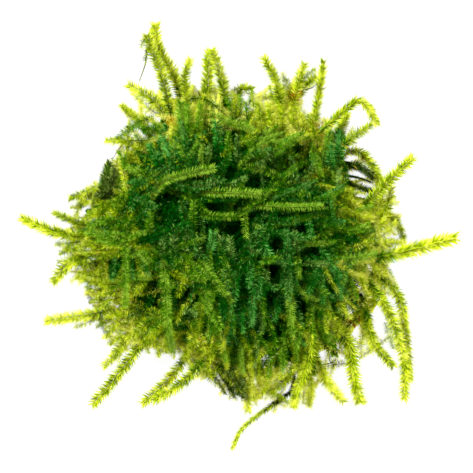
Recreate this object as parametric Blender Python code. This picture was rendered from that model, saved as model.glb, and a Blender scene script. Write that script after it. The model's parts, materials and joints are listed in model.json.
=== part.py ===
# A loose, tangled clump of aquatic moss, as it settles on a flat surface.
# One low mat of matted shoots carries single leafy shoots: round its rim, over its top, and two
# that rise from its crown. Each shoot is a slim tapered solid that reaches the tips of its leaves.
# Metres, +Z up. The origin is on the surface that the clump rests on, under its middle.

import math

import bmesh
import bpy
from mathutils import Vector, noise

MM = 0.001
GAP = 0.3 * MM  # clear space between a shoot and whatever it touches

# The mat. Its reach is how far the tangle spreads from the middle, to the tips of its short
# shoots, every 15 degrees from +X round towards +Y.
MAT_HEIGHT = 16.0 * MM
MAT_EDGE = 2.6 * MM  # height of the widest line of the mat
MAT_REACH = [r * MM for r in (
    32.0, 29.5, 28.5, 30.0, 29.0, 31.0, 30.5, 33.0,
    33.0, 31.0, 30.0, 33.0, 35.5, 32.5, 32.5, 32.0,
    27.0, 28.5, 31.5, 32.5, 32.5, 31.0, 30.5, 31.0,
)]
MAT_SHOULDER = 2.2  # how flat the dome is in the middle
MAT_SLOPE = 0.85  # how soon its side falls: 0.5 is round, 1 is straight
MAT_UNDERCUT = 1.75  # how soon the side turns in to the flat underside
MAT_SEGMENTS = 40
MAT_RINGS = 20
LUMP_HEIGHT = 2.6 * MM
LUMP_WIDTH = 8.0 * MM
LUMP_FADE = 4  # power by which lumps and hollows fade towards the mat's edge

# Hollows in the top of the mat: middle x and y, radius and depth, in millimetres.
HOLLOWS = (
    (-13.0, 6.6, 5.5, 3.0),
    (-0.6, 1.2, 4.0, 2.6),
    (-4.6, 6.2, 3.2, 1.8),
    (7.4, -0.8, 3.8, 2.2),
    (4.6, 12.6, 4.0, 2.2),
    (11.8, 14.8, 4.2, 2.0),
    (-10.2, -11.4, 4.2, 2.4),
    (8.4, -9.8, 4.6, 2.2),
    (13.2, -14.0, 2.8, 1.8),
    (6.2, -19.4, 4.4, 2.0),
)

# Leafy shoots. Each has its points from base to tip, in millimetres, and the radius that its
# leaves reach. The base is inside the mat, or close beside the shoot that a fork grows from.
RIM_SHOOTS = (
    # north
    (((-10.6, 26.6, 4.2), (-13.3, 33.6, 6.5), (-15.9, 37.8, 8.0), (-16.3, 42.2, 9.0)), 1.40, "fresh"),
    (((-13.2, 24.1, 6.4), (-15.0, 32.0, 9.2), (-17.1, 37.4, 11.0), (-17.9, 40.0, 12.0)), 1.25, "fresh"),
    (((-13.4, 22.8, 4.2), (-16.9, 27.6, 5.0), (-21.6, 30.5, 4.4)), 1.30, "fresh"),
    (((-17.4, 20.6, 3.2), (-20.6, 24.2, 3.2), (-23.1, 26.5, 2.6)), 1.10, "fresh"),
    (((-20.2, 18.0, 4.6), (-23.0, 19.4, 4.4), (-26.2, 19.5, 3.6)), 1.00, "fresh"),
    (((-9.8, 25.0, 7.0), (-10.5, 31.6, 8.2), (-9.5, 35.4, 8.6)), 1.10, "fresh"),
    (((-6.4, 26.4, 4.6), (-5.9, 33.0, 5.2), (-5.7, 37.0, 5.2)), 1.45, "fresh"),
    (((-2.4, 26.0, 5.8), (-3.2, 31.6, 7.6), (-5.0, 37.2, 9.0)), 1.25, "fresh"),
    (((0.2, 26.4, 3.2), (0.6, 30.0, 3.8), (2.9, 29.9, 3.2)), 1.00, "deep"),
    (((8.8, 25.4, 6.4), (7.6, 31.6, 7.0), (5.3, 35.8, 7.4)), 1.25, "fresh"),
    (((10.6, 25.0, 3.6), (12.1, 30.4, 4.2), (13.3, 34.6, 4.6)), 1.25, "fresh"),
    (((13.9, 30.6, 5.0), (14.7, 31.5, 5.8), (15.6, 32.3, 6.6)), 0.95, "fresh"),
    (((15.0, 21.0, 2.6), (16.3, 28.7, 3.0), (17.2, 35.0, 4.2)), 1.00, "fresh"),
    # east
    (((16.2, 20.8, 6.0), (21.3, 25.5, 7.2), (24.5, 27.4, 8.0), (26.1, 25.9, 8.0), (27.7, 23.0, 7.2)),
     1.05, "fresh"),
    (((18.2, 18.6, 3.2), (20.6, 22.0, 3.4), (22.0, 24.8, 3.0)), 1.10, "fresh"),
    (((19.4, 16.6, 5.0), (23.1, 20.1, 5.6), (26.7, 22.6, 5.4)), 0.90, "fresh"),
    (((20.4, 15.0, 2.4), (22.9, 17.8, 2.6), (25.7, 16.2, 2.8), (27.9, 13.2, 2.8), (29.2, 9.4, 2.4)),
     1.25, "old"),
    (((20.8, 13.2, 5.0), (23.5, 14.7, 5.6), (26.9, 12.8, 5.8)), 0.75, "old"),
    (((20.6, 11.0, 4.0), (23.4, 10.4, 3.8), (27.0, 9.4, 4.2)), 0.75, "old"),
    (((25.2, 6.2, 5.2), (27.6, 8.9, 6.9), (32.0, 13.2, 7.0), (34.7, 15.8, 7.0)), 1.40, "fresh"),
    (((26.4, 1.8, 4.0), (29.8, 5.4, 4.6), (30.8, 10.0, 4.8)), 1.10, "fresh"),
    (((25.8, 4.0, 2.2), (30.6, 4.2, 2.4), (32.6, 1.8, 2.2), (33.2, -0.2, 2.0)), 1.00, "old"),
    (((27.2, -4.2, 5.0), (34.0, -2.5, 6.4), (42.8, -0.1, 8.0)), 1.45, "fresh"),
    (((26.8, -6.6, 2.6), (32.2, -11.4, 3.0), (33.6, -19.0, 3.6), (34.5, -28.2, 3.8)), 1.20, "fresh"),
    (((25.4, -7.8, 5.4), (30.4, -15.0, 6.6), (33.2, -24.4, 7.0), (33.3, -32.0, 6.6)), 1.20, "fresh"),
    (((24.6, -11.2, 3.4), (26.0, -15.5, 3.6), (27.0, -20.4, 3.6), (31.1, -25.6, 4.0)), 1.10, "fresh"),
    # south
    (((19.4, -17.0, 4.2), (22.4, -21.6, 4.6), (23.3, -28.0, 4.4), (24.4, -32.6, 4.6)), 1.25, "fresh"),
    (((15.2, -22.6, 5.2), (17.6, -28.4, 4.8), (21.1, -32.6, 4.2)), 1.25, "fresh"),
    (((14.2, -24.2, 2.4), (14.7, -29.0, 2.4), (14.4, -33.6, 2.0)), 1.10, "fresh"),
    (((14.3, -14.6, 9.8), (14.5, -20.4, 10.6), (13.9, -25.6, 8.4), (11.8, -30.4, 6.4), (11.2, -33.6, 5.6)),
     1.25, "fresh"),
    (((11.9, -24.8, 4.6), (9.6, -28.6, 4.4), (6.7, -30.8, 4.0)), 1.05, "fresh"),
    (((11.2, -25.2, 1.8), (11.0, -30.4, 1.9), (6.9, -33.6, 2.0), (1.2, -38.0, 2.4), (-1.0, -42.1, 3.0)),
     0.80, "old"),
    (((1.6, -26.4, 3.4), (1.9, -31.0, 3.2), (2.1, -34.6, 2.6)), 1.20, "fresh"),
    (((-4.4, -24.8, 4.2), (-2.2, -28.4, 4.0), (0.0, -31.4, 3.2)), 1.00, "old"),
    (((-9.8, -23.0, 3.2), (-13.4, -28.0, 3.2), (-18.9, -33.1, 2.8)), 1.30, "fresh"),
    (((-6.8, -24.4, 5.8), (-11.0, -28.9, 6.2), (-16.5, -32.4, 5.8)), 1.25, "fresh"),
    # west
    (((-18.4, -20.2, 4.4), (-23.4, -26.8, 4.6), (-28.8, -33.2, 4.0)), 1.40, "fresh"),
    (((-21.4, -18.4, 3.4), (-24.4, -23.2, 3.4), (-26.7, -25.7, 2.8)), 1.00, "fresh"),
    (((-24.6, -14.4, 4.4), (-31.0, -15.6, 4.4), (-38.1, -16.6, 3.6)), 1.40, "fresh"),
    (((-28.2, -7.6, 2.4), (-30.2, -10.7, 2.0), (-28.0, -14.6, 1.6), (-27.0, -18.0, 1.6), (-25.0, -20.8, 1.7)),
     0.80, "old"),
    (((-29.6, -0.2, 3.4), (-36.6, 1.2, 3.4), (-42.9, 3.8, 3.0)), 1.20, "fresh"),
    (((-28.8, 2.2, 5.2), (-33.4, 3.6, 5.6), (-36.6, 5.0, 5.2)), 0.90, "old"),
    (((-29.2, -3.2, 4.0), (-33.6, -5.0, 3.8), (-36.8, -8.6, 3.0)), 1.25, "fresh"),
    (((-27.4, 7.6, 4.0), (-30.6, 8.8, 4.0), (-33.5, 8.0, 3.4)), 1.00, "fresh"),
)

# Shoots that lie over the mat, each from base to tip as x and y in millimetres, and a radius.
# Their height follows the top of the mat.
TOP_SHOOTS = (
    (((-17.7, 7.0), (-14.9, 10.9), (-10.5, 12.6), (-4.7, 13.8)), 1.30),
    (((-7.6, 8.9), (0.5, 8.9), (4.2, 8.6)), 1.25),
    (((2.4, 6.5), (10.3, 6.2), (16.6, 6.3)), 1.10),
    (((5.7, 15.4), (9.5, 18.6), (12.8, 20.6)), 1.10),
    (((14.4, 19.6), (15.6, 15.2), (16.6, 12.4)), 1.00),
    (((13.4, 15.0), (11.8, 14.2), (9.7, 12.7)), 1.00),
    (((-22.1, 4.4), (-22.1, -5.6), (-22.3, -13.4)), 1.10),
    (((-14.9, -2.0), (-14.1, -10.2), (-13.7, -18.0), (-13.1, -22.6)), 1.30),
    (((-12.2, -6.3), (-9.9, -7.0), (-6.3, -8.3)), 1.05),
    (((-9.4, -3.6), (-5.8, -6.5), (-2.3, -11.0)), 1.10),
    (((11.8, -2.4), (12.1, -7.8)), 1.00),
    (((1.6, 5.2), (1.5, 3.0), (1.7, 0.2)), 1.00),
)

# Shoots that rise from the crown of the mat, as the rim shoots are given.
CROWN_SHOOTS = (
    (((-3.6, -13.6, 12.0), (-4.2, -15.4, 15.8), (-3.2, -17.6, 18.4)), 1.10, "deep"),
    (((4.4, -4.2, 13.0), (5.0, -4.4, 16.6), (7.2, -4.0, 19.4)), 1.05, "deep"),
)

BASE_DEPTH = 2.2 * MM  # how deep the base of a top shoot lies under the top of the mat
TOP_LIFT = 0.8 * MM  # clear height under the rest of it
RISE_OVER = 0.35  # share of the length over which it comes up to that height
ROUTE_STEPS = 16  # points of a smooth route between two given ones
RING_STEP = 2.6 * MM
LEAST_RINGS = 5
WELD = 0.001 * MM  # points closer than this are one point
BASE_WIDTH = 0.6  # share of a shoot's radius at its base
TIP_WIDTH = 0.4  # and at its blunt tip
WIDEN_OVER = 0.3  # share of the length over which a shoot widens from its base

# Base colour, roughness and metallic of each finish.
FINISHES = {
    "mat": ((0.035, 0.115, 0.012, 1.0), 0.6, 0.0),
    "fresh": ((0.29, 0.46, 0.02, 1.0), 0.5, 0.0),
    "deep": ((0.06, 0.22, 0.02, 1.0), 0.55, 0.0),
    "old": ((0.075, 0.07, 0.018, 1.0), 0.7, 0.0),
}


def clear_scene():
    for old in list(bpy.data.objects):
        bpy.data.objects.remove(old, do_unlink=True)


def make_collection(name):
    collection = bpy.data.collections.new(name)
    bpy.context.scene.collection.children.link(collection)
    return collection


def make_finishes():
    made = {}
    for name, (colour, roughness, metallic) in FINISHES.items():
        material = bpy.data.materials.new(name + "_moss")
        material.use_nodes = True
        shader = material.node_tree.nodes["Principled BSDF"]
        shader.inputs["Base Color"].default_value = colour
        shader.inputs["Roughness"].default_value = roughness
        shader.inputs["Metallic"].default_value = metallic
        made[name] = material
    return made


def mat_reach(angle):
    """How far the mat spreads in one direction, read smoothly from MAT_REACH."""
    count = len(MAT_REACH)
    place = (angle / math.tau * count) % count
    here = int(place)
    blend = (1.0 - math.cos((place - here) * math.pi)) / 2.0
    return MAT_REACH[here % count] * (1.0 - blend) + MAT_REACH[(here + 1) % count] * blend


def mat_top(x, y):
    """Height of the top of the mat: a flattened dome with lumps and hollows."""
    share = min(math.hypot(x, y) / mat_reach(math.atan2(y, x)), 1.0)
    inner = 1.0 - share ** LUMP_FADE
    height = MAT_EDGE + (MAT_HEIGHT - MAT_EDGE) * (1.0 - share ** MAT_SHOULDER) ** MAT_SLOPE
    height += noise.noise(Vector((x, y, 0.0)) / LUMP_WIDTH) * LUMP_HEIGHT * inner
    for hollow_x, hollow_y, radius, depth in HOLLOWS:
        away = math.hypot(x - hollow_x * MM, y - hollow_y * MM) / (radius * MM)
        height -= depth * MM * math.exp(-away * away) * inner
    return height


def make_mat(collection, material):
    """A sphere shaped into the mat, with its underside closed by one flat face."""
    bm = bmesh.new()
    bmesh.ops.create_uvsphere(bm, u_segments=MAT_SEGMENTS, v_segments=MAT_RINGS, radius=1.0)
    for vert in bm.verts:
        reach = mat_reach(math.atan2(vert.co.y, vert.co.x))
        x = vert.co.x * reach
        y = vert.co.y * reach
        if vert.co.z >= 0.0:
            z = mat_top(x, y)
        else:
            z = max(0.0, MAT_EDGE * (1.0 + MAT_UNDERCUT * vert.co.z))
        vert.co = (x, y, z)
    under = [f for f in bm.faces if all(v.co.z == 0.0 for v in f.verts)]
    bmesh.ops.dissolve_faces(bm, faces=under, use_verts=True)
    bmesh.ops.recalc_face_normals(bm, faces=bm.faces)
    mesh = bpy.data.meshes.new("tangled_mat")
    bm.to_mesh(mesh)
    bm.free()
    mesh.materials.append(material)
    mat = bpy.data.objects.new("tangled_mat", mesh)
    collection.objects.link(mat)
    return mat


def smooth_route(points):
    """Close-set points on a smooth curve through the given ones."""
    points = [Vector(p) for p in points]
    ends = [2 * points[0] - points[1]] + points + [2 * points[-1] - points[-2]]
    route = []
    for a, b, c, d in zip(ends, ends[1:], ends[2:], ends[3:]):
        for step in range(ROUTE_STEPS):
            t = step / ROUTE_STEPS
            route.append(0.5 * (2 * b + (c - a) * t + (2 * a - 5 * b + 4 * c - d) * t ** 2
                                + (3 * b - a - 3 * c + d) * t ** 3))
    route.append(points[-1])
    return route


def point_along(route, distance):
    """The point at one distance along a route."""
    for a, b in zip(route, route[1:]):
        span = (b - a).length
        if distance <= span:
            return a.lerp(b, distance / span)
        distance -= span
    return route[-1].copy()


def shoot_rings(route, radius):
    """(point, radius) of each ring of a shoot: it widens from its base and ends in a blunt tip."""
    length = sum((b - a).length for a, b in zip(route, route[1:]))
    shoulder = length - radius
    count = max(LEAST_RINGS, round(shoulder / RING_STEP) + 1)
    rings = []
    for i in range(count):
        distance = shoulder * i / (count - 1)
        widened = min(1.0, distance / (WIDEN_OVER * length))
        rings.append((point_along(route, distance), radius * (BASE_WIDTH + (1.0 - BASE_WIDTH) * widened)))
    rings.append((route[-1], radius * TIP_WIDTH))
    return rings


def make_tube(name, rings, collection):
    """A six-sided tube with filled ends through the rings."""
    curve = bpy.data.curves.new(name, "CURVE")
    curve.dimensions = "3D"
    curve.bevel_depth = MM
    curve.bevel_resolution = 1
    curve.use_fill_caps = True
    spline = curve.splines.new("POLY")
    spline.points.add(len(rings) - 1)
    for control, (point, radius) in zip(spline.points, rings):
        control.co = (*point, 1.0)
        control.radius = radius / MM
    tube = bpy.data.objects.new(name, curve)
    collection.objects.link(tube)
    return tube


def make_socket_cutter(name, rings, collection):
    """The room a shoot needs in the mat: its own shape, larger by the gap, as a closed mesh."""
    points = [point for point, radius in rings]
    points[0] = points[0] + (points[0] - points[1]).normalized() * GAP
    points[-1] = points[-1] + (points[-1] - points[-2]).normalized() * GAP
    grown = [(point, ring[1] + GAP) for point, ring in zip(points, rings)]
    tube = make_tube(name, grown, collection)
    bpy.context.view_layer.update()
    depsgraph = bpy.context.evaluated_depsgraph_get()
    mesh = bpy.data.meshes.new_from_object(tube.evaluated_get(depsgraph))
    bm = bmesh.new()
    bm.from_mesh(mesh)
    bmesh.ops.remove_doubles(bm, verts=bm.verts, dist=WELD)
    bmesh.ops.recalc_face_normals(bm, faces=bm.faces)
    bm.to_mesh(mesh)
    bm.free()
    placed = tube.matrix_world.copy()
    bpy.data.objects.remove(tube, do_unlink=True)
    cutter = bpy.data.objects.new(name, mesh)
    cutter.matrix_world = placed
    cutter.hide_render = True
    cutter.display_type = "WIRE"
    collection.objects.link(cutter)


def top_route(flat_points, radius):
    """A route that starts under the top of the mat, comes out and lies along it."""
    flat = smooth_route([(x * MM, y * MM, 0.0) for x, y in flat_points])
    length = sum((b - a).length for a, b in zip(flat, flat[1:]))
    route = []
    walked = 0.0
    for i, point in enumerate(flat):
        if i:
            walked += (point - flat[i - 1]).length
        rise = min(1.0, walked / (RISE_OVER * length))
        lift = (radius + TOP_LIFT) * rise - BASE_DEPTH * (1.0 - rise)
        route.append(Vector((point.x, point.y, mat_top(point.x, point.y) + lift)))
    return route


def all_shoots():
    """(name, rings, finish) of every shoot."""
    for number, (points, radius, finish) in enumerate(RIM_SHOOTS, 1):
        route = smooth_route([[c * MM for c in p] for p in points])
        yield f"rim_shoot_{number:02d}", shoot_rings(route, radius * MM), finish
    for number, (points, radius) in enumerate(TOP_SHOOTS, 1):
        route = top_route(points, radius * MM)
        yield f"top_shoot_{number:02d}", shoot_rings(route, radius * MM), "deep"
    for number, (points, radius, finish) in enumerate(CROWN_SHOOTS, 1):
        route = smooth_route([[c * MM for c in p] for p in points])
        yield f"crown_shoot_{number:02d}", shoot_rings(route, radius * MM), finish


def build():
    clear_scene()
    clump = make_collection("moss_clump")
    cutters = make_collection("sockets")
    finishes = make_finishes()
    holder = bpy.data.objects.new("moss_clump_origin", None)
    clump.objects.link(holder)

    mat = make_mat(clump, finishes["mat"])
    mat.parent = holder
    for name, rings, finish in all_shoots():
        shoot = make_tube(name, rings, clump)
        shoot.data.materials.append(finishes[finish])
        shoot.parent = holder
        make_socket_cutter(name + "_socket", rings, cutters)

    sockets = mat.modifiers.new("sockets", "BOOLEAN")
    sockets.operation = "DIFFERENCE"
    sockets.operand_type = "COLLECTION"
    sockets.collection = cutters
    sockets.solver = "EXACT"


build()
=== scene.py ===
# Moss clump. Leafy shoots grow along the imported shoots, and many short ones fill the mat.
import json
import math

import bmesh
import bpy
import numpy as np
from mathutils import Matrix, Vector, noise
from mathutils.bvhtree import BVHTree


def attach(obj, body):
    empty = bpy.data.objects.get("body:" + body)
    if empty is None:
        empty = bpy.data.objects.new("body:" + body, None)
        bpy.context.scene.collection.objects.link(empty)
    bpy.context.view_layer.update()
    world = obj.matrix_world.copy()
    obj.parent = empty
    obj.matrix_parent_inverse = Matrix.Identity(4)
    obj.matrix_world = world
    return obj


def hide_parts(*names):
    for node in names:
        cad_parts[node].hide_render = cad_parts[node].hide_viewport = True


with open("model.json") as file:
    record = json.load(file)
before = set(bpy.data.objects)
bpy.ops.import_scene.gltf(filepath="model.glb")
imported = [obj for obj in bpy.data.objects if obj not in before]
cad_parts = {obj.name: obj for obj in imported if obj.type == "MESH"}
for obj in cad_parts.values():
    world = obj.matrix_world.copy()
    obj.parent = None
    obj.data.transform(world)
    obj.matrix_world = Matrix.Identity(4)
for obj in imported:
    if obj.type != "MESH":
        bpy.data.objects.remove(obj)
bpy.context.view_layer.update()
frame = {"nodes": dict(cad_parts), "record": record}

mm = 0.001
up = np.array((0.0, 0.0, 1.0))
chance = np.random.default_rng(4607)
mapName = "OFBake"  # each leaf's shade and the place along it, as a UV map

photo = {
    "pixels": 473,
    "pixelSize": 0.2 * mm,
    "middle": (237.5, 238.0),  # the pixel that lies over the origin
}


def fromPhoto(px, py):
    middleX, middleY = photo["middle"]
    return (px - middleX) * photo["pixelSize"], (middleY - py) * photo["pixelSize"]


# Shader maths and nodes.

class Wire:
    # a shader socket that plain maths works on
    def __init__(self, tree, socket):
        self.tree = tree
        self.socket = socket

    def maths(self, operation, other, swapped=False):
        node = self.tree.nodes.new("ShaderNodeMath")
        node.operation = operation
        for place, value in zip(node.inputs, (other, self) if swapped else (self, other)):
            if isinstance(value, Wire):
                self.tree.links.new(value.socket, place)
            else:
                place.default_value = value
        return Wire(self.tree, node.outputs[0])

    def __add__(self, other):
        return self.maths("ADD", other)

    def __radd__(self, other):
        return self.maths("ADD", other)

    def __sub__(self, other):
        return self.maths("SUBTRACT", other)

    def __rsub__(self, other):
        return self.maths("SUBTRACT", other, swapped=True)

    def __mul__(self, other):
        return self.maths("MULTIPLY", other)

    def __rmul__(self, other):
        return self.maths("MULTIPLY", other)

    def __truediv__(self, other):
        return self.maths("DIVIDE", other)


class Finish:
    # a material and its nodes
    def __init__(self, name):
        self.material = bpy.data.materials.new(name)
        self.material.use_nodes = True
        self.tree = self.material.node_tree
        self.tree.nodes.clear()

    def node(self, kind, settings=None, sockets=None, out=0):
        made = self.tree.nodes.new(kind)
        for key, value in (settings or {}).items():
            if key == "stops":
                self.setStops(made.color_ramp, value)
            else:
                setattr(made, key, value)
        for key, value in (sockets or {}).items():
            if isinstance(value, Wire):
                self.tree.links.new(value.socket, made.inputs[key])
            else:
                made.inputs[key].default_value = value
        return Wire(self.tree, made.outputs[out]) if made.outputs else made

    def setStops(self, ramp, stops):
        while len(ramp.elements) < len(stops):
            ramp.elements.new(0.5)
        for element, (place, colour) in zip(ramp.elements, stops):
            element.position = place
            element.color = (*colour, 1.0)


# Leaf and stem finishes: each has its own row in the leaf map.
lookColumns = ("shades", "through", "share", "roughness", "specular")
leafLooks = {
    # colours from the darkest shade to the lightest, light let through and its share, gloss
    "youngLeaf": (
        ((0.014, 0.060, 0.0005), (0.13, 0.25, 0.001), (0.56, 0.66, 0.006), (0.96, 0.96, 0.24)),
        (0.95, 0.97, 0.09), 0.62, 0.42, 0.0,
    ),
    "fullLeaf": (
        ((0.003, 0.040, 0.0004), (0.018, 0.092, 0.0005), (0.080, 0.225, 0.001), (0.31, 0.50, 0.04)),
        (0.11, 0.36, 0.001), 0.40, 0.45, 0.012,
    ),
    "deepLeaf": (
        ((0.0005, 0.038, 0.0003), (0.001, 0.050, 0.0004), (0.007, 0.10, 0.001), (0.15, 0.36, 0.06)),
        (0.008, 0.17, 0.001), 0.30, 0.42, 0.02,
    ),
    "coldLeaf": (
        ((0.0003, 0.038, 0.0005), (0.0006, 0.052, 0.001), (0.003, 0.115, 0.002), (0.12, 0.37, 0.06)),
        (0.003, 0.19, 0.002), 0.30, 0.40, 0.02,
    ),
    "oldLeaf": (
        ((0.0006, 0.003, 0.0003), (0.005, 0.013, 0.0008), (0.022, 0.048, 0.003), (0.13, 0.19, 0.03)),
        (0.03, 0.06, 0.002), 0.15, 0.55, 0.0,
    ),
    "rustLeaf": (
        ((0.03, 0.012, 0.001), (0.13, 0.06, 0.001), (0.34, 0.16, 0.004), (0.60, 0.40, 0.02)),
        (0.50, 0.20, 0.005), 0.35, 0.50, 0.0,
    ),
    "greyLeaf": (
        ((0.001, 0.012, 0.001), (0.010, 0.046, 0.002), (0.055, 0.15, 0.010), (0.24, 0.42, 0.08)),
        (0.06, 0.18, 0.01), 0.25, 0.45, 0.05,
    ),
    "mossStem": (
        ((0.002, 0.006, 0.0005), (0.016, 0.030, 0.001), (0.075, 0.10, 0.004), (0.24, 0.28, 0.02)),
        (0.14, 0.19, 0.004), 0.15, 0.80, 0.0,
    ),
}
looks = list(leafLooks)
rowEdge = 0.15  # share of a row that is left free on each side
leafLight = {
    "foot": 0.18,  # the foot of a leaf is in the shade of the next one
    "tip": 1.85,
    "darkThin": 0.35,  # share of a leaf's translucency that is left in its darkest shade
    "paleThin": 1.3,  # and in its lightest
    "footThin": 0.25,  # and at its foot
    "tipThin": 1.35,
    "darkRough": 0.12,  # added to the roughness in the darkest shade
    "smoothing": 0.2,  # and taken off it up to the lightest
    "bending": 1.42,  # index of refraction
}


def leafMaterial(name, look):
    finish = Finish(name)
    place = finish.node("ShaderNodeUVMap", {"uv_map": mapName})
    shade = finish.node("ShaderNodeSeparateXYZ", None, {"Vector": place}, out="X")
    row = finish.node("ShaderNodeSeparateXYZ", None, {"Vector": place}, out="Y")
    along = (row * len(looks) - looks.index(name) - rowEdge) / (1.0 - 2.0 * rowEdge)
    stops = [(i / (len(look["shades"]) - 1), c) for i, c in enumerate(look["shades"])]
    colour = finish.node("ShaderNodeValToRGB", {"stops": stops}, {"Fac": shade})
    lit = leafLight["foot"] + (leafLight["tip"] - leafLight["foot"]) * along
    colour = finish.node("ShaderNodeVectorMath", {"operation": "SCALE"}, {0: colour, "Scale": lit})
    rough = look["roughness"] + leafLight["darkRough"] - leafLight["smoothing"] * shade
    leaf = finish.node("ShaderNodeBsdfPrincipled", None, {
        "Base Color": colour, "Roughness": rough, "IOR": leafLight["bending"],
        "Specular IOR Level": look["specular"],
    })
    through = finish.node("ShaderNodeBsdfTranslucent", None, {"Color": (*look["through"], 1.0)})
    thinByShade = leafLight["darkThin"] + (leafLight["paleThin"] - leafLight["darkThin"]) * shade
    thinByPlace = leafLight["footThin"] + (leafLight["tipThin"] - leafLight["footThin"]) * along
    thin = look["share"] * thinByShade * thinByPlace
    both = finish.node("ShaderNodeMixShader", None, {0: thin, 1: leaf, 2: through})
    finish.node("ShaderNodeOutputMaterial", None, {"Surface": both})
    return finish.material


materials = [leafMaterial(name, dict(zip(lookColumns, row))) for name, row in leafLooks.items()]
print("leaf finishes:", len(materials))


# Patterns that are copied: a leaf in two degrees of detail, and a piece of stem.
leafForm = {
    "width": 0.16,  # of the length
    "belly": 0.8,  # under 1 brings the widest place nearer the foot
    "fold": 0.10,  # how far the edges stand above the midrib
    "curl": 0.14,  # how far the tip bends down
    "shadeAcross": 0.004,  # the edges' shift in shade
    "shadeEnds": (0.01, 0.99),
    "stations": (0.0, 0.38, 1.0),  # places along a fine leaf that have points
    "kiteWidest": 0.4,
    "stemSides": 3,
}


def bladeSpot(side, along):
    # a place on a blade that lies along +Y and faces +Z, one unit long; side runs from -1 to 1
    half = 0.5 * leafForm["width"] * math.sin(math.pi * along ** leafForm["belly"])
    lift = leafForm["fold"] * abs(side) * half * 2.0 - leafForm["curl"] * along ** 2
    return side * half, along, lift


def leafPattern(stations):
    # two columns of faces that meet at the midrib, with a row of points at each station
    bm = bmesh.new()
    rows = len(stations) - 1
    bmesh.ops.create_grid(bm, x_segments=2, y_segments=rows, size=0.5)
    for vert in bm.verts:
        vert.co = bladeSpot(2.0 * vert.co.x, stations[round((vert.co.y + 0.5) * rows)])
    bmesh.ops.remove_doubles(bm, verts=bm.verts, dist=0.0001)
    bmesh.ops.triangulate(bm, faces=bm.faces)
    return readPattern(bm)


def kitePattern(widest):
    # the plainest leaf: four corners, folded along its midrib
    bm = bmesh.new()
    bmesh.ops.create_circle(bm, cap_ends=True, segments=4, radius=1.0)
    for vert in bm.verts:
        along = widest if abs(vert.co.x) > 0.5 else 0.5 + 0.5 * vert.co.y
        vert.co = bladeSpot(vert.co.x, along)
    ends = sorted(bm.verts, key=lambda v: v.co.y)
    bmesh.ops.connect_verts(bm, verts=[ends[0], ends[-1]])
    return readPattern(bm)


def stemPattern(sides):
    # a piece of stem, one unit long along +Y and one across
    bm = bmesh.new()
    bmesh.ops.create_cone(bm, segments=sides, radius1=0.5, radius2=0.5, depth=1.0, cap_ends=False)
    bmesh.ops.rotate(bm, verts=bm.verts, matrix=Matrix.Rotation(math.radians(-90.0), 3, "X"))
    bmesh.ops.translate(bm, verts=bm.verts, vec=(0.0, 0.5, 0.0))
    bmesh.ops.triangulate(bm, faces=bm.faces)
    return readPattern(bm)


def readPattern(bm):
    bm.verts.index_update()
    spots = np.array([v.co for v in bm.verts])
    faces = np.array([[v.index for v in f.verts] for f in bm.faces])
    bm.free()
    return spots, faces


fineLeaf = leafPattern(leafForm["stations"])
kiteLeaf = kitePattern(leafForm["kiteWidest"])
stemPiece = stemPattern(leafForm["stemSides"])
print("leaf patterns:", [len(pattern[1]) for pattern in (fineLeaf, kiteLeaf)], "triangles")


# Shoots are grown as arrays.

def unit(vectors):
    return vectors / np.maximum(np.linalg.norm(vectors, axis=-1, keepdims=True), 1e-9)


class Growth:
    # leaves and stems gathered as arrays, which become one mesh at the end
    def __init__(self):
        self.spots = []
        self.faces = []
        self.marks = []
        self.rows = []
        self.count = 0

    def copies(self, pattern, at, along, facing, length, width, depth, shade, look):
        # one copy of a pattern for each row of the arrays
        spots, faces = pattern
        side = unit(np.cross(along, facing))
        over = np.cross(side, along)
        x, y, z = spots[:, 0], spots[:, 1], spots[:, 2]
        placed = (at[:, None, :]
                  + (width[:, None] * x)[..., None] * side[:, None, :]
                  + (length[:, None] * y)[..., None] * along[:, None, :]
                  + (depth[:, None] * z)[..., None] * over[:, None, :])
        placed[..., 2] = np.maximum(placed[..., 2], floorGap)
        u = np.clip(shade[:, None] + np.sign(x) * leafForm["shadeAcross"], *leafForm["shadeEnds"])
        v = (look[:, None] + rowEdge + (1.0 - 2.0 * rowEdge) * y) / len(looks)
        index = self.count + np.arange(len(at))[:, None, None] * len(spots) + faces[None]
        self.spots.append(placed.reshape(-1, 3))
        self.marks.append(np.stack((u, v + np.zeros_like(u)), axis=-1).reshape(-1, 2))
        self.faces.append(index.reshape(-1, 3))
        self.rows.append(np.repeat(look, len(faces)))
        self.count += len(at) * len(spots)

    def piece(self, name):
        spots = np.concatenate(self.spots)
        faces = np.concatenate(self.faces)
        marks = np.concatenate(self.marks)[faces.ravel()]
        used, rows = np.unique(np.concatenate(self.rows), return_inverse=True)
        mesh = bpy.data.meshes.new(name)
        mesh.vertices.add(len(spots))
        mesh.vertices.foreach_set("co", spots.ravel().astype(np.float32))
        mesh.loops.add(faces.size)
        mesh.loops.foreach_set("vertex_index", faces.ravel().astype(np.int32))
        mesh.polygons.add(len(faces))
        mesh.polygons.foreach_set("loop_start", np.arange(0, faces.size, 3, dtype=np.int32))
        mesh.polygons.foreach_set("material_index", rows.astype(np.int32))
        mesh.uv_layers.new(name=mapName)
        mesh.uv_layers[0].uv.foreach_set("vector", marks.ravel().astype(np.float32))
        mesh.update()
        mesh.shade_smooth()
        for row in used:
            mesh.materials.append(materials[row])
        made = bpy.data.objects.new(name, mesh)
        bpy.context.scene.collection.objects.link(made)
        return made


floorGap = 0.02 * mm  # least height of any leaf over the floor

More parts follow.
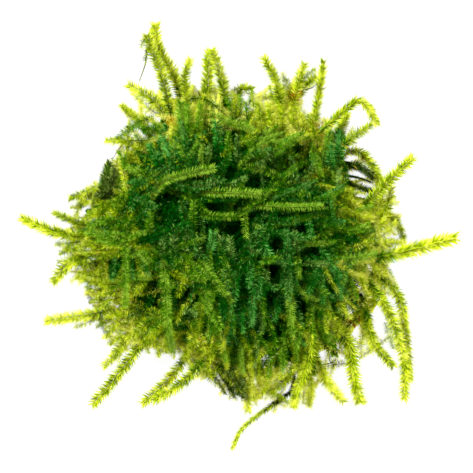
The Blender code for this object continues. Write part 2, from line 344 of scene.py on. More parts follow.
# Ranks of leaves: degrees round the stem, size, share of the spread, and twist out of the
# shoot's plane in degrees.
sideRanks = ((0.0, 1.0, 1.0, 15.0), (180.0, 1.0, 1.0, 15.0))
upperRanks = ((42.0, 0.84, 0.86, 42.0), (138.0, 0.84, 0.86, 42.0))
crestRanks = ((75.0, 0.66, 0.62, 78.0), (105.0, 0.66, 0.62, 78.0))
lowerRanks = ((-42.0, 0.84, 0.86, 42.0), (-138.0, 0.84, 0.86, 42.0))

upperSix = sideRanks + upperRanks + crestRanks
allEight = upperSix + lowerRanks

# How a shoot is leaved: its ranks, mm between leaves of one rank, degrees between leaf and stem at
# the foot, along it and at the tip, the leaves' width, the leaf that is copied, and how thick the
# stem is, with none at 0.
habitColumns = ("ranks", "step", "spread", "width", "leaf", "stem")
habits = {
    "full": (allEight, 0.19, (78.0, 64.0, 36.0), 0.9, fineLeaf, 1.7),
    "slim": (allEight, 0.19, (56.0, 46.0, 20.0), 0.9, fineLeaf, 1.7),
    "barbed": (allEight, 0.30, (82.0, 72.0, 40.0), 1.0, fineLeaf, 0.7),
    "feather": (upperSix, 0.27, (80.0, 70.0, 36.0), 0.95, kiteLeaf, 0.8),
    "strand": (upperSix, 0.40, (84.0, 74.0, 36.0), 1.15, kiteLeaf, 0.8),
    "filler": (sideRanks + upperRanks, 0.50, (74.0, 66.0, 30.0), 1.8, kiteLeaf, 0.0),
    "bedding": (sideRanks + upperRanks, 0.55, (68.0, 58.0, 18.0), 4.5, kiteLeaf, 0.0),
}

shootForm = {
    "lineStep": 0.25 * mm,
    "steep": 0.9,  # a shoot that rises more steeply than this is measured from X instead of up
    "jitter": 6.0,  # degrees by which leaves are turned
    "twistJitter": 20.0,
    "start": 0.25,  # where the first leaf grows, as a share of the step from leaf to leaf
    "lag": 0.5,  # and how much further up the leaves of the other side are
    "lagJitter": 0.07,
    "sizeJitter": (0.86, 1.1),
    "widthJitter": (0.85, 1.2),
    "footReach": 0.65,  # of the leaves' reach at the foot
    "tipReach": 0.95,
    "footEnds": 0.3,  # share of the length over which the leaves come to their full reach and spread
    "tipStart": 1.3,  # how far before the tip they start to close up, as a share of their reach
    "tipClosing": 0.7,
    "footBlend": 0.15,  # share of the length over which two kinds of leaf mix
    "shadeRange": (0.02, 0.98),
    "shadeJitter": 0.22,
    "stationJitter": 0.13,
    "mottle": 0.27,  # how much the shade drifts from place to place
    "mottleSize": 1.6 * mm,
    "paintedGlints": 0.05,  # share of the leaves painted paler as glints, a painted highlight
    "paintedGlintShade": 0.45,
    "tipShade": 0.22,  # how much lighter the tip of a shoot is
    "stemWidth": 0.22 * mm,  # of a shoot whose leaves reach 1 mm
    "stemStep": 1.6 * mm,
    "stemTaper": 0.55,
    "stemOverlap": 1.04,
    "stemShade": 1.1,  # of the leaves' shade
    "stemShades": (0.05, 0.95),
}


def smoothLine(points, step):
    # evenly spaced points on a smooth curve through the given ones
    points = np.asarray(points, float)
    ends = np.vstack((2 * points[0] - points[1], points, 2 * points[-1] - points[-2]))
    t = np.linspace(0.0, 1.0, 9)[:-1, None]  # eight steps from point to point
    spans = []
    for a, b, c, d in zip(ends, ends[1:], ends[2:], ends[3:]):
        square = (2 * a - 5 * b + 4 * c - d) * t ** 2
        cube = (3 * b - a - 3 * c + d) * t ** 3
        spans.append(0.5 * (2 * b + (c - a) * t + square + cube))
    close = np.vstack((*spans, points[-1:]))
    walked = np.concatenate(([0.0], np.cumsum(np.linalg.norm(np.diff(close, axis=0), axis=1))))
    wanted = np.linspace(0.0, walked[-1], max(3, round(walked[-1] / step) + 1))
    line = np.stack([np.interp(wanted, walked, close[:, i]) for i in range(3)], axis=1)
    return line, walked[-1]


def readLine(line, place):
    return np.stack([np.interp(place, np.arange(len(line)), line[:, i]) for i in range(3)], axis=1)


def leafPlaces(line, length, form, reach, roll):
    # for each leaf of a shoot: its share of the way up, its place in its pair of ranks, where it
    # grows, which way it points and faces, and its length
    tangent = unit(np.gradient(line, axis=0))
    turns, sizes, spreads, twists = np.array(form["ranks"]).T
    stations = max(2, round(length / (form["step"] * mm)))
    count = stations * len(turns)
    rank = np.arange(count) % len(turns)
    station = np.arange(count) // len(turns)
    lag = np.where(np.cos(np.radians(turns[rank])) < 0.0, shootForm["lag"], 0.0)
    lag = lag + chance.uniform(-shootForm["lagJitter"], shootForm["lagJitter"], count)
    share = np.clip((station + shootForm["start"] + lag) / stations, 0.0, 1.0)
    place = share * (len(line) - 1)
    at = readLine(line, place)
    run = unit(readLine(tangent, place))
    level = np.where(np.abs(run[:, 2:3]) > shootForm["steep"], np.array((1.0, 0.0, 0.0)), up)
    over = unit(level - (level * run).sum(1, keepdims=True) * run)
    side = np.cross(run, over)
    turn = np.radians(turns[rank] + roll + chance.normal(0.0, shootForm["jitter"], count))
    out = np.cos(turn)[:, None] * side + np.sin(turn)[:, None] * over
    atFoot, middle, tip = form["spread"]
    footEnds = shootForm["footEnds"]
    toTip = np.clip(length * (1.0 - share) / (shootForm["tipStart"] * reach), 0.0, 1.0)
    spread = np.interp(share, (0.0, footEnds), (atFoot, middle)) * spreads[rank]
    spread = tip + (spread - tip) * toTip ** shootForm["tipClosing"]
    spread = np.radians(spread + chance.normal(0.0, shootForm["jitter"], count))
    along = unit(np.cos(spread)[:, None] * run + np.sin(spread)[:, None] * out)
    twist = np.radians(twists[rank] + chance.normal(0.0, shootForm["twistJitter"], count))
    across = np.cos(twist)[:, None] * unit(run - (run * along).sum(1, keepdims=True) * along)
    across = across + np.sin(twist)[:, None] * np.cross(run, out)
    facing = np.cross(across, along)
    facing = facing * np.where(facing[:, 2:3] < 0.0, -1.0, 1.0)
    size = reach / math.sin(math.radians(middle)) * sizes[rank]
    size = size * chance.uniform(*shootForm["sizeJitter"], count)
    reaches = (shootForm["footReach"], 1.0, shootForm["tipReach"])
    size = size * np.interp(share, (0.0, footEnds, 1.0), reaches)
    pair = 2 * station + (lag > 0.5 * shootForm["lag"])
    return share, pair, at, along, facing, size


def leafTones(share, pair, at, shade):
    tone = shade + shootForm["tipShade"] * share ** 2
    tone = tone + chance.normal(0.0, shootForm["shadeJitter"], len(at))
    tone = tone + chance.normal(0.0, shootForm["stationJitter"], 2 * (pair.max() // 2 + 1))[pair]
    drift = np.array([noise.noise(Vector(spot)) for spot in at / shootForm["mottleSize"]])
    tone = tone + shootForm["mottle"] * drift
    # painted glints: a few leaves are made paler as highlights
    return tone + shootForm["paintedGlintShade"] * (chance.uniform(0.0, 1.0, len(at)) < shootForm["paintedGlints"])


def growShoot(growth, points, reach, look, shade, habit,
              roll=0.0, footLook=None, footShare=0.0, tintedAndShaded=True):
    # leaves in ranks along a line of points, from its foot to its tip, and the stem under them
    form = dict(zip(habitColumns, habits[habit]))
    line, length = smoothLine(points, shootForm["lineStep"])
    share, pair, at, along, facing, size = leafPlaces(line, length, form, reach, roll)
    tone = leafTones(share, pair, at, shade)
    kind = np.full(len(at), looks.index(look))
    if footLook:
        blend = chance.uniform(-shootForm["footBlend"], shootForm["footBlend"], len(at))
        kind[share < footShare + blend] = looks.index(footLook)
    if tintedAndShaded:
        tone, kind = placeTintAndShade(at, tone, kind)
    width = size * form["width"] * chance.uniform(*shootForm["widthJitter"], len(at))
    tone = np.clip(tone, *shootForm["shadeRange"])
    growth.copies(form["leaf"], at, along, facing, size, width, size, tone, kind)
    if form["stem"]:
        stemWidth = form["stem"] * shootForm["stemWidth"] * reach / mm
        growStem(growth, points, stemWidth, shootForm["stemShade"] * shade)


def growStem(growth, points, width, shade):
    stem, _ = smoothLine(points, shootForm["stemStep"])
    steps = np.diff(stem, axis=0)
    length = np.linalg.norm(steps, axis=1) * shootForm["stemOverlap"]
    thick = width * np.linspace(1.0, shootForm["stemTaper"], len(steps))
    facing = unit(np.cross(steps, up) + 1e-6)
    tone = np.clip(shade + np.zeros(len(steps)), *shootForm["stemShades"])
    kind = np.full(len(steps), looks.index("mossStem"))
    growth.copies(stemPiece, stem[:-1], unit(steps), facing, length, thick, thick, tone, kind)


# Places where the clump differs: middle and radius in photo pixels. First the hollows: the leaves
# in them are darkened with painted shade, and no shoot of the upper layers crosses them.
hollows = (
    (140, 159, 8), (135, 206, 7), (168, 203, 13), (171, 222, 10), (218, 134, 6), (218, 152, 6),
    (206, 158, 4), (207, 180, 5), (236, 137, 8), (230, 172, 8), (254, 182, 8), (285, 157, 6),
    (298, 148, 7), (296, 163, 5), (310, 170, 7), (332, 176, 5), (347, 206, 4), (214, 207, 7),
    (208, 226, 6), (235, 230, 10), (238, 241, 6), (274, 244, 6), (273, 268, 8), (116, 265, 8),
    (135, 268, 6), (150, 285, 7), (152, 300, 8), (162, 306, 5), (186, 290, 8), (178, 315, 6),
    (195, 300, 5), (270, 300, 8), (265, 337, 6), (278, 328, 7), (303, 306, 7), (313, 252, 7),
    (307, 268, 5), (329, 236, 5), (207, 258, 4), (234, 350, 6), (286, 357, 6), (322, 336, 5),
    (97, 262, 5), (170, 240, 5), (250, 340, 5), (300, 228, 7), (280, 218, 5), (190, 212, 4),
    (357, 296, 4), (346, 308, 4),
)
# painted shade: how much darker the leaves in the hollows are made
hollowPaintedShade = -0.16

# Other places that are lighter or darker: radius in photo pixels and change of shade.
shadePatches = (
    (177, 337, 4, -0.4), (245, 300, 14, -0.1), (240, 352, 10, -0.1), (238, 385, 9, -0.3),
    (106, 170, 7, -0.3), (150, 190, 14, -0.1), (200, 118, 12, 0.1), (175, 115, 14, 0.15),
    (270, 120, 16, 0.15), (100, 225, 12, 0.1), (122, 322, 17, 0.3), (375, 225, 10, 0.2),
    (330, 320, 12, 0.12), (254, 394, 20, 0.26), (108, 276, 12, -0.22), (130, 158, 11, -0.2),
    (128, 204, 10, -0.17), (106, 206, 9, -0.1), (252, 368, 10, -0.28), (248, 108, 14, 0.24),
    (348, 156, 10, 0.24), (372, 254, 12, 0.26), (156, 180, 9, 0.25), (300, 108, 9, 0.2),
    (160, 326, 10, -0.08), (204, 325, 10, -0.16), (228, 348, 10, -0.16), (276, 350, 10, -0.14),
    (108, 250, 10, -0.2), (180, 130, 11, 0.2), (348, 182, 9, -0.14), (252, 348, 9, -0.12),
    (228, 324, 9, -0.1), (204, 252, 10, -0.14), (324, 348, 9, 0.2), (300, 288, 13, 0.16),
    (168, 228, 12, 0.12), (228, 206, 9, 0.14), (180, 106, 10, 0.15), (348, 204, 9, -0.12),
    (252, 228, 10, -0.1), (156, 156, 9, -0.13), (324, 132, 9, 0.15),
) + tuple((px, py, radius, hollowPaintedShade) for px, py, radius in hollows)

# Kinds of leaf that gather in places, with the share of leaves that they take at the middle.
kindPatches = {
    "coldLeaf": (
        (180, 163, 18, 0.7), (215, 135, 12, 0.7), (140, 197, 16, 0.6), (338, 140, 9, 0.95),
        (332, 160, 10, 0.8), (262, 285, 14, 0.6), (222, 247, 13, 0.6), (250, 250, 16, 0.5),
        (240, 290, 20, 0.5), (285, 240, 16, 0.4), (150, 300, 12, 0.5), (300, 205, 18, 0.3),
        (155, 160, 14, 0.6), (245, 325, 14, 0.5),
    ),
    "rustLeaf": (
        (293, 98, 5, 0.6), (172, 122, 5, 0.6), (362, 155, 8, 0.12), (84, 268, 5, 0.3),
        (132, 300, 5, 0.25), (168, 375, 7, 0.3), (201, 176, 4, 0.4), (318, 127, 6, 0.4),
        (345, 150, 8, 0.15), (92, 195, 5, 0.3), (97, 248, 5, 0.2), (312, 172, 6, 0.3),
        (205, 340, 6, 0.12), (355, 320, 5, 0.25), (148, 150, 5, 0.2),
    ),
    "oldLeaf": (
        (106, 172, 7, 0.8), (238, 392, 9, 0.7), (186, 292, 9, 0.4), (312, 171, 6, 0.4),
        (100, 300, 6, 0.5), (98, 262, 5, 0.5), (294, 163, 10, 0.3), (330, 345, 8, 0.4),
        (245, 235, 10, 0.3), (205, 240, 12, 0.3), (358, 300, 9, 0.4), (102, 318, 6, 0.4),
        (260, 178, 10, 0.3),
    ),
}


def nearness(spots, px, py, radius):
    x, y = fromPhoto(px, py)
    away = np.hypot(spots[:, 0] - x, spots[:, 1] - y) / (radius * photo["pixelSize"])
    return np.exp(-away ** 2)


def placeTintAndShade(at, tone, kind):
    # the shade and the kind of each leaf, changed by the patches it lies in, the painted shade of the
    # hollows among them
    tone = tone + sum(lighter * nearness(at, px, py, radius) for px, py, radius, lighter in shadePatches)
    for name, places in kindPatches.items():
        taken = sum(most * nearness(at, px, py, radius) for px, py, radius, most in places)
        kind = np.where(chance.uniform(0.0, 1.0, len(at)) < taken, looks.index(name), kind)
    return tone, kind


# How the rings of a packed shoot are found.
ringForm = {
    "weld": 0.001 * mm,
    "sides": 6,
    "flatWithin": 0.2,  # degrees between two faces of one cap
    "evenWithin": 1.02,  # how nearly the corners of a cap lie at one distance
}


def flatGroups(bm):
    # sets of neighbouring faces that lie in one plane
    groups, seen = [], set()
    for face in bm.faces:
        if face in seen:
            continue
        group, waiting = [], [face]
        seen.add(face)
        while waiting:
            here = waiting.pop()
            group.append(here)
            for edge in here.edges:
                if edge.calc_face_angle(math.pi) < math.radians(ringForm["flatWithin"]):
                    for other in edge.link_faces:
                        if other not in seen:
                            seen.add(other)
                            waiting.append(other)
        groups.append(group)
    return groups


def ringOf(verts):
    # the middle of a ring of points, and how far each is from it
    spots = np.array([v.co for v in sorted(verts, key=lambda v: v.index)])
    middle = spots.mean(0)
    return middle, np.linalg.norm(spots - middle, axis=1)


def shootRings(node):
    # middle of each ring of a packed shoot, from its foot to its tip, and its largest radius
    bm = bmesh.new()
    bm.from_mesh(node.data)
    bmesh.ops.remove_doubles(bm, verts=bm.verts, dist=ringForm["weld"])
    bm.verts.index_update()
    caps = []
    for group in flatGroups(bm):
        ring = {v for f in group for v in f.verts}
        _, away = ringOf(ring)
        if len(ring) == ringForm["sides"] and away.max() < ringForm["evenWithin"] * away.min():
            caps.append((away[0], ring))
    tip = min(caps, key=lambda cap: cap[0])[1]
    rings, walked = [], set()
    while tip:
        rings.append(ringOf(tip))
        walked |= tip
        tip = {edge.other_vert(v) for v in tip for edge in v.link_edges} - walked
    bm.free()
    rings.reverse()
    return np.array([middle for middle, _ in rings]), max(away.mean() for _, away in rings)


# How the shoots of each slot look, and what differs on single ones of the rim and the top.
slotStyles = {
    "fresh_shoots": {
        "look": "youngLeaf", "shade": 0.38, "habit": "full", "swell": 1.22,
        "footLook": "fullLeaf", "footShare": 0.12,
    },
    "deep_shoots": {"look": "fullLeaf", "shade": 0.50, "habit": "full"},
    "old_shoots": {"look": "oldLeaf", "shade": 0.35, "habit": "barbed"},
}
rimStyles = {
    2: {"shade": 0.30},
    6: {"shade": 0.34},
    7: {"shade": 0.37},
    8: {"shade": 0.30},
    9: {"look": "youngLeaf", "shade": 0.10, "swell": 1.3},
    11: {"shade": 0.36},
    13: {"shade": 0.42, "habit": "slim"},
    14: {"shade": 0.45, "habit": "slim"},
    16: {"swell": 1.5},
    17: {"look": "youngLeaf", "shade": 0.27, "habit": "full", "swell": 1.15},
    18: {"shade": 0.40, "habit": "full", "swell": 1.5},
    19: {"shade": 0.40, "habit": "full", "swell": 1.5},
    22: {"look": "youngLeaf", "shade": 0.12, "habit": "full", "swell": 1.35},
    23: {"shade": 0.48, "habit": "slim", "swell": 1.3},
    24: {"shade": 0.42, "swell": 1.28},
    25: {"shade": 0.42, "swell": 1.28},
    26: {"shade": 0.36, "swell": 1.35},
    27: {"swell": 1.5},
    28: {"shade": 0.60},
    30: {"shade": 0.28, "swell": 1.2},
    32: {
        "look": "youngLeaf", "shade": 0.25, "habit": "slim", "swell": 1.05,
        "footLook": "oldLeaf", "footShare": 0.5,
    },
    34: {"shade": 0.12, "habit": "full"},
    38: {"swell": 1.4},
    39: {"shade": 0.55},
    40: {"shade": 0.25},
    41: {"shade": 0.42, "habit": "slim"},
    42: {"look": "youngLeaf", "shade": 0.15, "habit": "full", "swell": 1.3},
    43: {"swell": 1.4},
    44: {"shade": 0.15},
}
topShades = (0.86, 0.84, 0.78, 0.52, 0.45, 0.42, 0.56, 0.76, 0.60, 0.56, 0.50, 0.68)
shootStyles = {f"rim_shoot_{number:02d}": style for number, style in rimStyles.items()}
for number, shade in enumerate(topShades, 1):
    shootStyles[f"top_shoot_{number:02d}"] = {"shade": shade, "habit": "feather"}

packedForm = {
    "roll": 20.0,  # degrees by which a shoot may be turned round its stem
    "lineStep": 1.0 * mm,  # between the spots from which strands may grow
}

slotOf = {part["node"]: part["material_slot"] for part in frame["record"]["subparts"]}
shootPieces = []
packedLines = []
for name, node in sorted(frame["nodes"].items()):
    if name == "tangled_mat":
        continue
    points, radius = shootRings(node)
    packedLines.append(smoothLine(points, packedForm["lineStep"])[0])
    style = {**slotStyles[slotOf[name]], **shootStyles.get(name, {})}
    reach = style.pop("swell", 1.0) * radius
    roll = chance.uniform(-packedForm["roll"], packedForm["roll"])
    growth = Growth()
    growShoot(growth, points, reach, roll=roll, tintedAndShaded=not name.startswith("top"), **style)
    piece = growth.piece(name + "_leaves")
    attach(piece, "root")
    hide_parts(name)
    shootPieces.append(piece)
packedSpots = np.concatenate(packedLines)
shootTriangles = sum(len(piece.data.polygons) for piece in shootPieces)
print("leafy shoots:", len(shootPieces), "of", shootTriangles, "triangles")


# The tangle of short shoots in the place of the mat.
tangle = {
    "edgeBins": 48,
    "rayFrom": 50.0 * mm,  # height from which the mat's top is felt for
    "edgeHeight": 3.0 * mm,  # where the mat ends
    "edgeFall": 0.4,  # and how steeply the crowd falls beyond
    "leastHeight": 1.2 * mm,
    "floorReach": 0.8,  # least height of a shoot over the floor, as a share of its leaves' reach
    "stray": 34.0,  # degrees by which shoots stray from the current they lie in
    "bend": 30.0,
    "roll": 40.0,
    "riseShare": (0.3, 1.0),
    "dip": (0.6, 2.6),  # mm by which the foot of a shoot lies lower than its tip
    "dipCurve": 1.5,
    "overreach": 1.03,  # how far past the outline a shoot may lie, as a share of it
    "hollowMargin": (-2.5, 1.0),  # photo pixels by which shoots keep clear of a hollow
    "gapMargin": 3.0,  # and at most of a gap
    # how light the shoots are, by their tips' share of the way out: the darker middle and lighter
    # rim are partly older and fresher growth, partly painted shade in the thick middle and painted light
    # in the thin rim
    "lightAt": ((0.0, 0.4, 0.55, 0.7, 0.85, 1.0), (-0.09, -0.02, 0.10, 0.48, 1.02, 1.25)),
    "lightJitter": 0.28,
    "mostLighter": 0.32,  # the most that the jitter adds
    "deepShare": 0.85,  # of the darkest leaves; the others are cold
    "driftSize": 6.0 * mm,
    "driftLight": 0.3,
    "currentReach": 34,  # photo pixels over which a current holds
    "routeSteps": 6,
    "sectors": ("east", "north_east", "north_west", "west", "south_west", "south_east"),
}

# Kinds of leaf by lightness: where each starts, its shade there, and how fast the shade grows.
leafByLight = {
    "deepLeaf": (0.0, 0.40, 0.9),
    "fullLeaf": (0.30, 0.23, 1.25),
    "youngLeaf": (0.68, 0.15, 0.85),
}

# Layers from the floor up: how many shoots, how far out their tips lie as a share of the way to
# the outline, how high as a share of the mat's height, length and leaf reach in mm, how far in mm
# the tips rise, how much lighter they are (lower layers darker, partly as older growth and partly as
# painted shade, upper ones lighter as painted light), how they are leaved, whether they keep out of
# the hollows, and by how many photo pixels more than the others they keep out of the gaps.
layerColumns = ("shoots", "out", "height", "length", "reach", "rise", "light", "habit", "clear", "margin")
layers = {
    "bed": (760, (0.0, 0.88), (0.06, 0.35), (8, 13), (1.3, 1.6), 0.0, -0.32, "bedding", False, 3.0),
    "body": (700, (0.0, 0.84), (0.35, 0.80), (7, 12), (0.9, 1.2), 0.0, -0.38, "filler", False, 1.0),
    "crust": (560, (0.0, 0.92), (0.84, 1.0), (7, 13), (0.75, 1.15), 0.0, -0.11, "strand", True, 0.0),
    "overlay": (150, (0.0, 0.92), (1.03, 1.14), (7, 12), (0.85, 1.15), 0.0, 0.12, "feather", True, 0.0),
    "risers": (60, (0.0, 0.75), (0.95, 1.0), (4, 7), (0.8, 1.1), 2.6, 0.04, "strand", True, 0.0),
    "fringe": (500, (0.78, 1.05), (0.15, 0.85), (5, 10), (0.8, 1.15), 0.0, 0.08, "feather", False, 0.0),
}

# Which way the shoots are combed: photo pixel and degrees, 0 to the right and 90 up.
currents = (
    (140, 130, 130), (200, 110, 90), (235, 140, 80), (285, 120, 80), (320, 130, 75), (350, 150, 60),
    (180, 150, 75), (165, 185, 20), (220, 195, 0), (290, 205, 0), (250, 165, 40), (300, 160, 60),
    (340, 190, 30), (375, 200, -60), (385, 240, 5), (330, 230, 10), (100, 200, 160), (80, 235, 185),
    (110, 270, 190), (125, 250, 265), (150, 300, 215), (120, 330, 200), (170, 320, 268),
    (200, 270, -30), (205, 300, 265), (240, 250, 85), (240, 300, 270), (285, 310, 285), (320, 300, 300),
    (355, 270, 290), (370, 300, 285), (310, 350, 268), (250, 360, 270), (200, 360, 240),
    (280, 370, 265), (340, 340, 290),
)

# The outline of the crowd of short shoots, in photo pixels.
outline = (
    (397, 232), (391, 187), (386, 172), (373, 172), (366, 150), (354, 136), (352, 118), (340, 118),
    (322, 122), (309, 114), (303, 78), (290, 80), (275, 84), (262, 98), (252, 93), (240, 88), (228, 84),
    (222, 77), (210, 73), (197, 89), (190, 72), (178, 78), (163, 76), (150, 92), (140, 106), (124, 108),
    (132, 128), (120, 141), (111, 154), (104, 175), (83, 191), (69, 208), (67, 225), (61, 242),
    (61, 267), (70, 280), (85, 290), (92, 302), (94, 319), (104, 334), (112, 352), (124, 360),
    (140, 350), (158, 347), (174, 351), (187, 368), (192, 378), (205, 379), (222, 392), (236, 398),
    (252, 406), (268, 408), (290, 408), (312, 405), (322, 390), (335, 388), (352, 374), (362, 350),
    (374, 354), (390, 350), (398, 300), (384, 264), (404, 246),
)

# Gaps at the rim where the floor shows: photo pixel and radius.
gaps = (
    (144, 134, 2), (124, 149, 1), (158, 111, 4), (158, 119, 3), (156, 84, 2), (231, 99, 2),
    (258, 85, 3), (215, 103, 1), (196, 85, 1), (249, 108, 2), (254, 110, 2), (253, 128, 1),
    (306, 104, 4), (349, 156, 5), (354, 172, 3), (352, 180, 3), (365, 184, 2), (361, 194, 3),
    (390, 238, 2), (368, 268, 1), (323, 356, 4), (340, 374, 7), (345, 385, 5), (358, 374, 3),
    (352, 121, 4), (197, 80, 2), (320, 393, 3), (378, 316, 6), (379, 328, 5), (357, 340, 3),
    (277, 390, 2), (286, 388, 3), (293, 380, 2), (290, 362, 1), (370, 268, 1), (348, 312, 1),
    (360, 297, 1), (391, 290, 1), (394, 302, 1), (90, 258, 1), (88, 207, 1), (66, 213, 1),
)

# Places where the shoots are made lighter or darker: photo pixel, radius and change of light.
lightPatches = (
    (180, 326, 16, -0.3), (154, 324, 10, -0.15), (106, 276, 12, -0.2), (108, 228, 12, -0.1),
    (228, 348, 12, -0.25), (276, 350, 12, -0.15), (372, 254, 12, 0.25), (300, 300, 10, 0.12),
    (300, 110, 12, 0.25), (204, 182, 12, 0.12), (240, 204, 14, 0.2), (156, 182, 12, 0.15),
    (180, 182, 12, 0.1), (108, 230, 12, -0.2), (348, 234, 12, -0.2), (372, 230, 12, -0.2),
    (372, 304, 12, 0.3), (228, 108, 10, 0.2), (204, 90, 10, -0.1), (168, 104, 14, 0.25),
    (300, 96, 16, 0.45), (352, 132, 12, 0.3), (228, 372, 10, 0.25), (324, 192, 14, -0.2),
    (322, 252, 14, -0.18), (324, 276, 12, -0.15), (132, 204, 12, -0.15), (300, 372, 10, 0.15),
    (156, 154, 14, -0.65), (132, 180, 12, -0.25), (228, 156, 12, -0.55), (108, 252, 12, -0.2),
    (324, 130, 12, 0.3), (180, 276, 12, 0.2), (132, 276, 12, -0.15), (348, 228, 14, -0.3),
    (228, 300, 14, -0.3), (252, 134, 10, -0.25), (228, 276, 12, -0.15), (372, 252, 12, 0.3),
    (348, 298, 12, 0.35), (324, 130, 10, 0.25), (252, 104, 12, 0.3), (108, 156, 12, 0.3),
    (350, 152, 10, 0.2), (228, 366, 10, 0.2), (276, 376, 14, 0.25), (324, 366, 12, 0.25),
    (60, 244, 10, -0.2), (180, 90, 14, 0.2), (105, 276, 10, -0.2), (276, 252, 12, -0.12),
    (252, 276, 12, -0.18), (204, 324, 12, -0.15), (252, 348, 12, -0.15), (132, 228, 12, 0.2),
    (182, 96, 20, 0.5), (180, 130, 12, 0.35), (152, 106, 12, 0.6), (156, 182, 10, 0.2),
    (204, 322, 14, -0.2), (372, 306, 14, 0.25), (306, 300, 16, 0.15), (252, 106, 10, 0.3),
    (372, 330, 12, 0.3), (243, 108, 14, 0.45), (302, 104, 18, 0.5), (280, 130, 12, 0.3),
    (324, 134, 14, 0.55), (226, 108, 10, 0.35), (136, 150, 16, -0.35), (74, 242, 18, -0.5),
    (132, 192, 16, -0.22), (106, 218, 14, -0.35), (346, 130, 10, 0.3), (212, 130, 14, 0.2),
    (60, 255, 8, -0.3), (278, 372, 12, 0.3), (324, 372, 10, 0.25), (395, 275, 10, 0.25),
    (228, 330, 16, -0.12), (330, 204, 12, -0.15), (110, 165, 12, 0.15), (360, 316, 16, 0.4),
    (372, 280, 16, 0.45), (330, 350, 14, 0.3), (308, 372, 16, 0.2), (240, 205, 12, 0.12),
    (350, 158, 12, 0.25), (370, 200, 10, 0.15), (182, 278, 10, 0.2), (284, 282, 16, 0.1),
    (345, 228, 14, -0.15), (205, 300, 12, -0.1), (190, 322, 14, -0.12), (262, 350, 14, -0.15),
    (84, 205, 10, 0.1), (160, 178, 10, 0.15), (278, 104, 8, 0.1),
)


def matTree():
    bm = bmesh.new()
    bm.from_mesh(frame["nodes"]["tangled_mat"].data)
    bmesh.ops.remove_doubles(bm, verts=bm.verts, dist=ringForm["weld"])
    tree = BVHTree.FromBMesh(bm)
    spots = np.array([v.co for v in bm.verts])
    bm.free()
    return tree, spots


def edgeOf(spots):
    # how far out the mat reaches, at even steps round it
    bins = tangle["edgeBins"]
    bearing = np.arctan2(spots[:, 1], spots[:, 0])
    away = np.hypot(spots[:, 0], spots[:, 1])
    binOf = np.round(bearing / math.tau * bins).astype(int) % bins
    return np.array([away[binOf == i].max() for i in range(bins)])


matSurface, matSpots = matTree()
matEdge = edgeOf(matSpots)
currentSpots = np.array([fromPhoto(px, py) for px, py, _ in currents])
currentHeadings = np.radians([heading for _, _, heading in currents])


def edgeAt(angle):
    steps = np.arange(len(matEdge) + 1) / len(matEdge) * math.tau
    return float(np.interp(angle % math.tau, steps, np.append(matEdge, matEdge[0])))


outlineSpots = [fromPhoto(px, py) for px, py in outline]
outlineRows = sorted((math.atan2(y, x) % math.tau, math.hypot(x, y)) for x, y in outlineSpots)
outlineBearings, outlineAway = np.array(outlineRows).T


def outlineAt(angle):
    return float(np.interp(angle % math.tau, outlineBearings, outlineAway, period=math.tau))


def topAt(x, y):
    # height of the mat's top, and a falling slope outside it
    hit = matSurface.ray_cast(Vector((x, y, tangle["rayFrom"])), Vector((0.0, 0.0, -1.0)))
    if hit[0] is not None:
        return hit[0].z
    beyond = math.hypot(x, y) - edgeAt(math.atan2(y, x))
    return max(tangle["leastHeight"], tangle["edgeHeight"] - tangle["edgeFall"] * beyond)


def headingAt(x, y):
    away = np.hypot(*(currentSpots - (x, y)).T) / (tangle["currentReach"] * photo["pixelSize"])
    weight = np.exp(-away ** 2)
    return math.atan2((weight * np.sin(currentHeadings)).sum(), (weight * np.cos(currentHeadings)).sum())


def crosses(points, places, margin):
    # whether a line of points comes within one of the places
    flat = np.array(points)[:, :2]
    for px, py, radius in places:
        away = np.hypot(*(flat - fromPhoto(px, py)).T).min()
        if away < (radius + margin) * photo["pixelSize"]:
            return True
    return False


def strays(points):
    # whether any of a shoot's points lies outside the outline
    over = tangle["overreach"]
    return any(math.hypot(x, y) > over * outlineAt(math.atan2(y, x)) for x, y, _ in points)


def layerShoot(layer):
    # points from foot to tip, the leaves' reach, the tip's bearing and its share of the way out
    bearing = chance.uniform(0.0, math.tau)
    inner, outer = layer["out"]
    out = math.sqrt(chance.uniform(inner ** 2, outer ** 2))
    x = out * outlineAt(bearing) * math.cos(bearing)
    y = out * outlineAt(bearing) * math.sin(bearing)
    heading = headingAt(x, y) + chance.normal(0.0, math.radians(tangle["stray"]))
    length = chance.uniform(*layer["length"]) * mm
    reach = chance.uniform(*layer["reach"]) * mm
    bend = chance.normal(0.0, math.radians(tangle["bend"]))
    height = chance.uniform(*layer["height"])
    rise = layer["rise"] * mm * chance.uniform(*tangle["riseShare"])
    dip = chance.uniform(*tangle["dip"]) * mm
    steps = tangle["routeSteps"]
    points = []
    for k in range(steps + 1):
        t = k / steps
        z = topAt(x, y) * height + rise * (1.0 - t) - dip * t ** tangle["dipCurve"]
        points.append((x, y, max(z, tangle["floorReach"] * reach)))
        x -= length / steps * math.cos(heading + bend * t)
        y -= length / steps * math.sin(heading + bend * t)
    points.reverse()
    return points, reach, bearing, out


def patchLight(points):
    middle = np.array([points[len(points) // 2]])
    return sum(change * nearness(middle, px, py, radius)[0] for px, py, radius, change in lightPatches)


def lookFor(light):
    # the kind of leaf and its shade for a lightness from about -0.6 in the depths to 1.2 at the rim
    look = "deepLeaf"
    for lighter in ("fullLeaf", "youngLeaf"):
        if light >= leafByLight[lighter][0]:
            look = lighter
    start, shade, growth = leafByLight[look]
    shade = shade + growth * (light - start)
    if look == "deepLeaf" and chance.uniform() >= tangle["deepShare"]:
        look = "coldLeaf"
    return look, shade


def sectorOf(bearing):
    return int((bearing / math.tau * len(growths) + 0.5) % len(growths))


